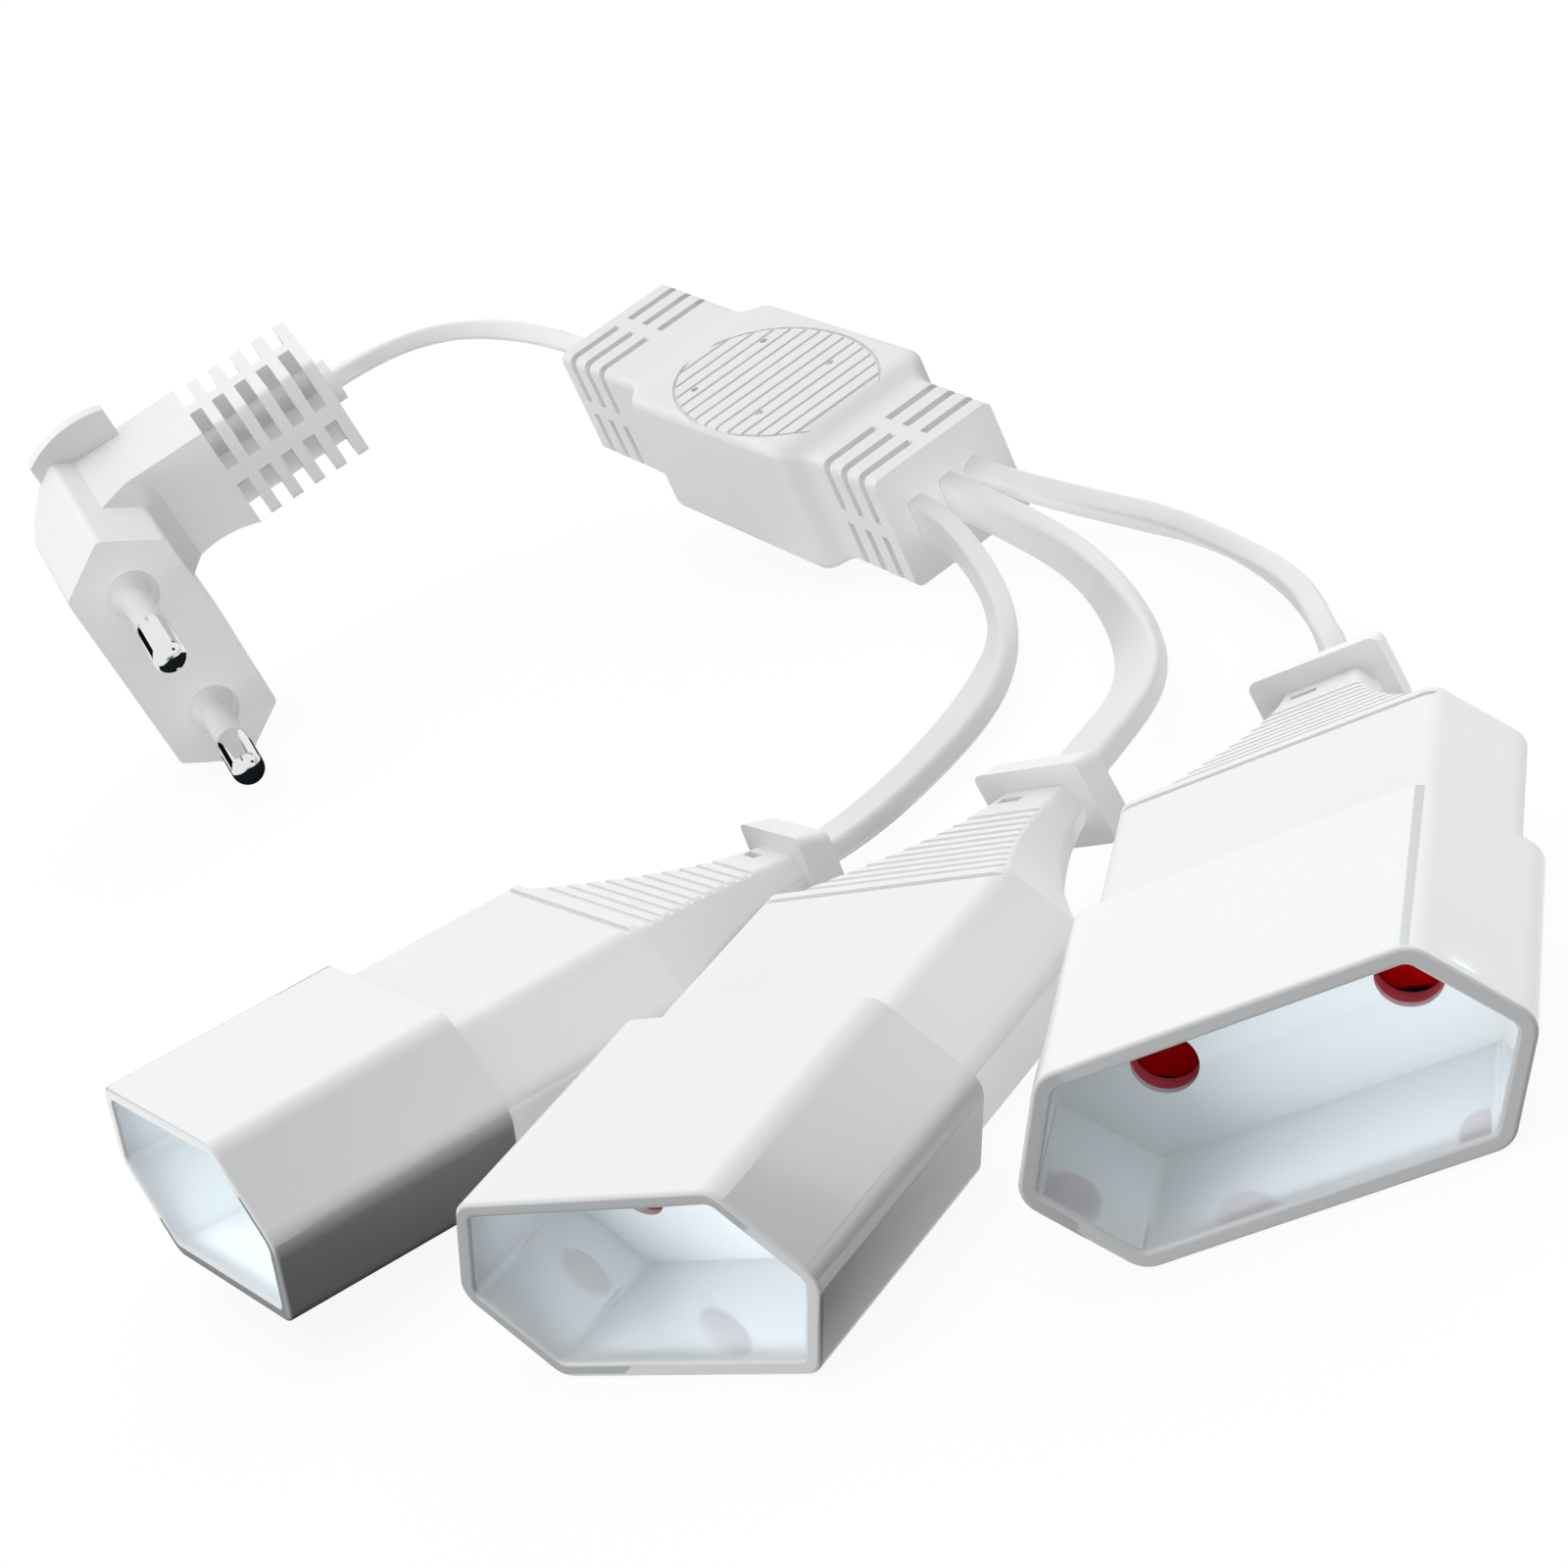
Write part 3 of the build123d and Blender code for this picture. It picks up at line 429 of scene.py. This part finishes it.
# %% [markdown]
# ## The studio
# The lead stands on white paper in front of white. A floor that bright would also light the lead from
# below and wash out the polished sides, which darken downwards in the photograph. So the floor is white
# only to the camera and in reflections, and a dull grey to the light that falls on the lead. One function
# says which rays see white.

# %% Rays that see white
def white_share(tree):
    """1 for camera, glossy and transmission rays, which see plain white, and 0 for the rest."""
    rays = add_node(tree, "ShaderNodeLightPath").outputs
    direct = add_node(tree, "ShaderNodeMath", {"operation": "MAXIMUM"}, {
        0: rays["Is Camera Ray"], 1: rays["Is Glossy Ray"]})
    shown = add_node(tree, "ShaderNodeMath", {"operation": "MAXIMUM"}, {
        0: direct.outputs[0], 1: rays["Is Transmission Ray"]})
    return shown.outputs[0]


bpy.context.scene.view_settings.view_transform = "Standard"
print("view transform", bpy.context.scene.view_settings.view_transform)

# %% [markdown]
# What the camera sees of the floor is mostly a white glow, with a share of plain paper that takes the
# lead's shadow. The glow is a touch over 1, so that with the paper's share the open floor is just white.

# %% Floor
FLOOR_SIDE = 6
GLOW_SHARE = 0.88
GLOW_STRENGTH = 1.04

bpy.ops.object.select_all(action="DESELECT")
bpy.ops.mesh.primitive_plane_add(size=FLOOR_SIDE)
floor = bpy.context.object
floor.name = "floor"
floor_finish, tree, output, place = new_material("white_paper_floor")
paper = add_node(tree, "ShaderNodeBsdfDiffuse", inputs={"Color": linear("#EAEAEA")})
glow = add_node(tree, "ShaderNodeEmission", inputs={"Color": linear("#FFFFFF"), "Strength": GLOW_STRENGTH})
dull = add_node(tree, "ShaderNodeBsdfDiffuse", inputs={"Color": linear("#2A2E31")})
seen = add_node(tree, "ShaderNodeMixShader", inputs={
    "Fac": GLOW_SHARE, 1: paper.outputs[0], 2: glow.outputs[0]})
surface = add_node(tree, "ShaderNodeMixShader", inputs={
    "Fac": white_share(tree), 1: dull.outputs[0], 2: seen.outputs[0]})
tree.links.new(surface.outputs[0], output.inputs["Surface"])
floor.data.materials.append(floor_finish)
print("floor", FLOOR_SIDE, "m wide")

# %% [markdown]
# The dome is the main light. It is bright overhead and a little behind, and dims to the horizon, so tops
# come out white and sides fall off. A plain white world would be simpler, but would light every side
# alike.

# %% Dome
DOME_TOP = Vector((-0.2, 0.5, 0.85)).normalized()
DOME_DIM_TO = 0.05
DOME_FULL_FROM = 0.75
DOME_DIM = 0.06
DOME_FULL = 1.3

world = bpy.data.worlds.new("studio")
bpy.context.scene.world = world
world.use_nodes = True
tree = world.node_tree
tree.nodes.clear()
towards = add_node(tree, "ShaderNodeTexCoord").outputs["Generated"]
nearness = add_node(tree, "ShaderNodeVectorMath", {"operation": "DOT_PRODUCT"}, {0: towards, 1: DOME_TOP})
dome_light = add_node(tree, "ShaderNodeMapRange", inputs={
    "Value": nearness.outputs["Value"], "From Min": DOME_DIM_TO, "From Max": DOME_FULL_FROM,
    "To Min": DOME_DIM, "To Max": DOME_FULL})
dome = add_node(tree, "ShaderNodeBackground", inputs={
    "Color": linear("#FDFEFF"), "Strength": dome_light.outputs["Result"]})
white = add_node(tree, "ShaderNodeBackground", inputs={"Color": linear("#FFFFFF"), "Strength": 1.0})
surface = add_node(tree, "ShaderNodeMixShader", inputs={
    "Fac": white_share(tree), 1: dome.outputs[0], 2: white.outputs[0]})
add_node(tree, "ShaderNodeOutputWorld", inputs={"Surface": surface.outputs[0]})
print("dome brightest towards", [round(c, 2) for c in DOME_TOP])

# %% [markdown]
# White on white has no edges, so a photographer stands dark cards where the polished sides and the pins
# mirror them. The cards here show only in reflections: they cast no shadow and take no light away. Most
# are plain black felt. Two are faded from one edge to the other and from end to end, for the soft dark
# bands of painted shade on the right side of the middle socket. Those two and the card under the left
# socket lie where shade falls, and their dark is painted shade in the reflections.

# %% Card finishes
# The cards' ink, which on the cards lying where shade falls is painted shade in the reflections
CARD_AND_PAINTED_SHADE_INK = linear("#1C2124")
CARD_EDGE = 0.5
FULL_FROM = 0.1
FULL_COVER = 0.9

# Black felt for most cards; on the card under the left socket its dark is painted shade in the reflections
felt_and_painted_shade, tree, output, place = new_material("felt_and_painted_shade_card")
felt = add_node(tree, "ShaderNodeBsdfDiffuse", inputs={"Color": CARD_AND_PAINTED_SHADE_INK})
tree.links.new(felt.outputs[0], output.inputs["Surface"])

# A card faded towards one clear edge and end, whose dark is painted shade in the reflections
painted_shade_faded_card, tree, output, place = new_material("painted_shade_faded_card")
card_sides = add_node(tree, "ShaderNodeSeparateXYZ", inputs={"Vector": place})
across = add_node(tree, "ShaderNodeMapRange", inputs={
    "Value": card_sides.outputs["X"], "From Min": -CARD_EDGE, "From Max": FULL_FROM,
    "To Min": 0.0, "To Max": FULL_COVER})
along = add_node(tree, "ShaderNodeMapRange", inputs={
    "Value": card_sides.outputs["Y"], "From Min": -CARD_EDGE, "From Max": CARD_EDGE,
    "To Min": 1.0, "To Max": 0.0})
cover = add_node(tree, "ShaderNodeMath", {"operation": "MULTIPLY"}, {
    0: across.outputs["Result"], 1: along.outputs["Result"]})
clear = add_node(tree, "ShaderNodeBsdfTransparent")
ink = add_node(tree, "ShaderNodeBsdfDiffuse", inputs={"Color": CARD_AND_PAINTED_SHADE_INK})
faded = add_node(tree, "ShaderNodeMixShader", inputs={
    "Fac": cover.outputs[0], 1: clear.outputs[0], 2: ink.outputs[0]})
tree.links.new(faded.outputs[0], output.inputs["Surface"])
print(felt_and_painted_shade.name, "and", painted_shade_faded_card.name, "ready")

# %% [markdown]
# Small cards lie on the floor under the left socket, under the middle one's edge and under the pins, and
# one stands in the gap between the middle and right sockets. The ones under the left socket and the
# middle one's edge and the one in the gap paint the shade there into the reflections. Three larger ones
# stand well away, to the left, behind and to the right.

# %% Dark cards
def dark_card(name, finish, width, height, place, aim):
    """A dark card seen only in reflections, facing a point. Sizes and places are in metres."""
    bpy.ops.mesh.primitive_plane_add(size=2 * CARD_EDGE)
    card = bpy.context.object
    card.name = name
    card.scale = (width, height, 1)
    card.location = place
    card.rotation_euler = (Vector(aim) - Vector(place)).to_track_quat("Z", "Y").to_euler()
    card.visible_camera = False
    card.visible_diffuse = False
    card.visible_transmission = False
    card.visible_shadow = False
    card.data.materials.append(finish)
    print(name, width, "by", height, "m")
    return card


# Painted shade of the floor under the left socket, mirrored in its polished sides
floor_card = dark_card("floor_card", felt_and_painted_shade, 0.09, 0.1, (0.01, -0.055, 0.0004), (0.01, -0.055, 1.0))
# Painted shade of the right socket's dark left side, mirrored in the middle socket's right side
painted_shade_gap_card = dark_card("painted_shade_gap_card", painted_shade_faded_card, 0.05, 0.026,
                     (0.0919, -0.0693, 0.0135), (0.0026, -0.1124, 0.0135))
# Painted shade under the middle socket's edge, mirrored as a dark band on its lower side
# Aimed a hair forwards of straight up, which turns its dark end to the mouth
painted_shade_strip_card = dark_card("painted_shade_strip_card", painted_shade_faded_card, 0.007, 0.036,
                       (0.0783, -0.068, 0.0005), (0.0783, -0.069, 1.0))
pin_card = dark_card("pin_card", felt_and_painted_shade, 0.09, 0.09, (-0.085, 0.02, 0.0004), (-0.085, 0.02, 1.0))
left_card = dark_card("left_card", felt_and_painted_shade, 0.35, 0.3, (-0.8, 0.13, 0.12), (-0.1, 0.03, 0.02))
back_card = dark_card("back_card", felt_and_painted_shade, 0.25, 0.2, (-0.15, 0.75, 0.42), (0.1, -0.05, 0.02))
right_card = dark_card("right_card", felt_and_painted_shade, 0.34, 0.3, (0.78, 0.30, 0.43), (0.08, -0.07, 0.01))

# %% [markdown]
# The photograph shows the matt parts evenly white and the polished fronts with a strong fall-off, and no
# one light gives both. So soft lamps fill only some of the pieces, through light linking. A lamp's
# receivers are the pieces it lights, and its blockers are the pieces that cast shadows in it. Both are
# collections.

# %% Groups of pieces for the lamps
def group(name, pieces):
    """A collection of pieces, for a lamp's receivers or blockers."""
    collection = bpy.data.collections.new(name)
    for piece in pieces:
        collection.objects.link(piece)
    return collection


def with_words(*words):
    """The model's pieces whose names hold one of the words."""
    return [piece for name, piece in nodes.items() if any(word in name for word in words)]


shutters = [nodes[socket + "_shutter"] for socket in mouths]
fronts_and_guards = with_words("socket_front", "guard_plate")
bodies = with_words("plug_body", "splitter_block", "socket_rear")

matt_parts = group("matt_parts", bodies + with_words("pin_sleeve") + list(flexes.values()))
blocking_parts = group("blocking_parts", bodies + fronts_and_guards + shutters)
gloss_parts = group("gloss_parts", fronts_and_guards + shutters)
plug_and_block = with_words("plug_body", "splitter_block", "pin_sleeve")
plug_parts = group("plug_parts", plug_and_block + [flexes["supply_cord"]])
pins_only = group("pins_only", with_words("plug_pin"))
necks = group("necks", with_words("left_socket_rear", "middle_socket_rear"))
right_socket = group("right_socket", with_words("right_socket"))

# %% [markdown]
# Each lamp is a soft box about a metre away, aimed at the middle of the lead and hidden from reflections.
# The plug has two from the same place, one with all shadows and one in which only the pins cast any,
# because its shadows are weak in the photograph. One lamp shines up from below, where the dull floor gives
# too little.

# %% Soft lamps
LEAD_MIDDLE = (0, 0, 0.01)


def soft_lamp(name, watts, width, height, place, aim, receivers, blockers):
    """A rectangular soft box at a place, facing a point, that lights only some pieces."""
    data = bpy.data.lights.new(name, "AREA")
    data.shape = "RECTANGLE"
    data.size = width
    data.size_y = height
    data.energy = watts
    lamp = bpy.data.objects.new(name, data)
    bpy.context.scene.collection.objects.link(lamp)
    lamp.location = place
    lamp.rotation_euler = (Vector(aim) - Vector(place)).to_track_quat("-Z", "Y").to_euler()
    lamp.visible_glossy = False
    lamp.light_linking.receiver_collection = receivers
    lamp.light_linking.blocker_collection = blockers
    return lamp


# Name, watts, width, height and place, then what is lit and what casts shadows
fills = [
    ("plug_fill", 1.6, 0.8, 0.5, (-0.5, -0.6, 0.7), plug_parts, pins_only),
    ("plug_shaded_fill", 1.6, 0.8, 0.5, (-0.5, -0.6, 0.7), plug_parts, blocking_parts),
    ("plug_side_fill", 0.6, 0.8, 0.4, (0.85, -0.7, 0.2), plug_parts, pins_only),
    ("camera_fill", 1.0, 0.8, 0.4, (0.85, -0.7, 0.2), matt_parts, blocking_parts),
    ("front_fill", 4.5, 0.8, 0.3, (-0.4, -1.0, 0.1), matt_parts, blocking_parts),
    ("back_fill", 1.5, 0.8, 0.3, (-0.4, 1.0, 0.1), matt_parts, blocking_parts),
    ("under_fill", 14.0, 1.2, 1.2, (0.5, -0.3, -0.7), matt_parts, blocking_parts),
    ("neck_fill", 1.3, 0.5, 0.4, (-0.1, -0.9, 0.65), necks, blocking_parts),
    ("right_fill", 1.7, 0.6, 0.4, (0.75, 0.5, 0.5), right_socket, blocking_parts),
    ("rim_fill", 4.2, 0.8, 0.3, (-0.35, -0.93, 0.1), gloss_parts, gloss_parts),
]
for name, watts, width, height, place, receivers, blockers in fills:
    soft_lamp(name, watts, width, height, place, LEAD_MIDDLE, receivers, blockers)
print(len(fills), "soft lamps")

# %% [markdown]
# The insides of the mouths are a pale cool grey in the photograph, lighter to the right. Little of the
# dome reaches in there, so a small sheet of light lies across each mouth and shines in.

# %% Light in the mouths
SHEET_WIDTH_MM = 26
SHEET_HEIGHT_MM = 12
SHEET_INSET_MM = 1

# How far the sheet lies to the right of the mouth's middle, in millimetres, and its watts
mouth_sheets = {"left": (1.0, 0.0019), "middle": (2.5, 0.0012), "right": (4.0, 0.0011)}
for socket, (shift_mm, watts) in mouth_sheets.items():
    inwards = -facings[socket]
    middle = mouths[socket] + (sideways[socket] * shift_mm + inwards * SHEET_INSET_MM) * MM
    sheet = soft_lamp(socket + "_mouth_fill", watts, SHEET_WIDTH_MM * MM, SHEET_HEIGHT_MM * MM,
                      middle, middle + inwards, gloss_parts, gloss_parts)
    sheet.data.color = linear("#DDECF4")[:3]
    print(sheet.name, watts, "W at", [round(value / MM, 1) for value in middle], "mm")
